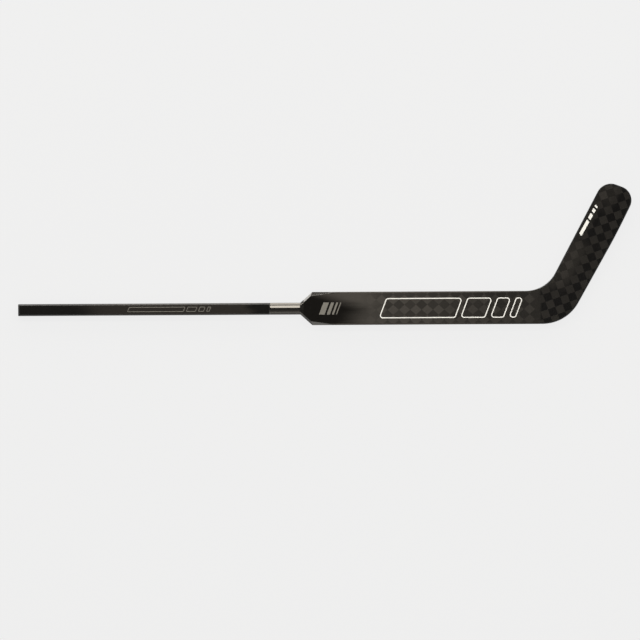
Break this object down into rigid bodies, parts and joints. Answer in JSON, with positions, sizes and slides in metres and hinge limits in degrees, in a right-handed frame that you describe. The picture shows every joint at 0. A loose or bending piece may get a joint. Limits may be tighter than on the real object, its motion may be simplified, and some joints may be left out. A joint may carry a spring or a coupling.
{
  "type": "hockey goalie stick",
  "caption": "Composite hockey goalie stick: hollow shaft on a bevelled neck, wide foam-cored paddle and curved blade, for stopping and passing a puck on ice.",
  "frame": {"origin": "middle of the paddle's flat rear face, on the line of the shaft", "axes": "+X along the shaft from the butt to the heel, +Y towards the toe, +Z out of the front (striking) face"},
  "size_m": [1.5225, 0.347, 0.0389],
  "materials": {
    "cap_rubber": "satin moulded rubber",
    "shaft_grip": "matt tacky grip coat over carbon laminate",
    "neck_gloss": "clear-coated carbon laminate",
    "paddle_weave": "satin clear-coated spread-tow carbon on the bias",
    "blade_weave": "satin clear-coated spread-tow carbon along the blade",
    "edge_gloss": "clear-coated carbon laminate",
    "core_foam": "rigid closed-cell foam",
    "heel_foam": "dense syntactic foam"
  },
  "bodies": {
    "root": {"butt_end_cap": "cap_rubber", "shaft_tube": "shaft_grip", "paddle_neck": "neck_gloss", "paddle_front_skin": "paddle_weave", "paddle_rear_skin": "paddle_weave", "paddle_upper_rail": "edge_gloss", "paddle_lower_rail": "edge_gloss", "paddle_upper_core": "core_foam", "paddle_lower_core": "core_foam", "heel_block": "heel_foam", "blade_front_skin": "blade_weave", "blade_rear_skin": "blade_weave", "blade_upper_rail": "edge_gloss", "blade_lower_rail": "edge_gloss", "blade_upper_core": "core_foam", "blade_lower_core": "core_foam", "blade_rib": "edge_gloss"}
  },
  "joints": []
}
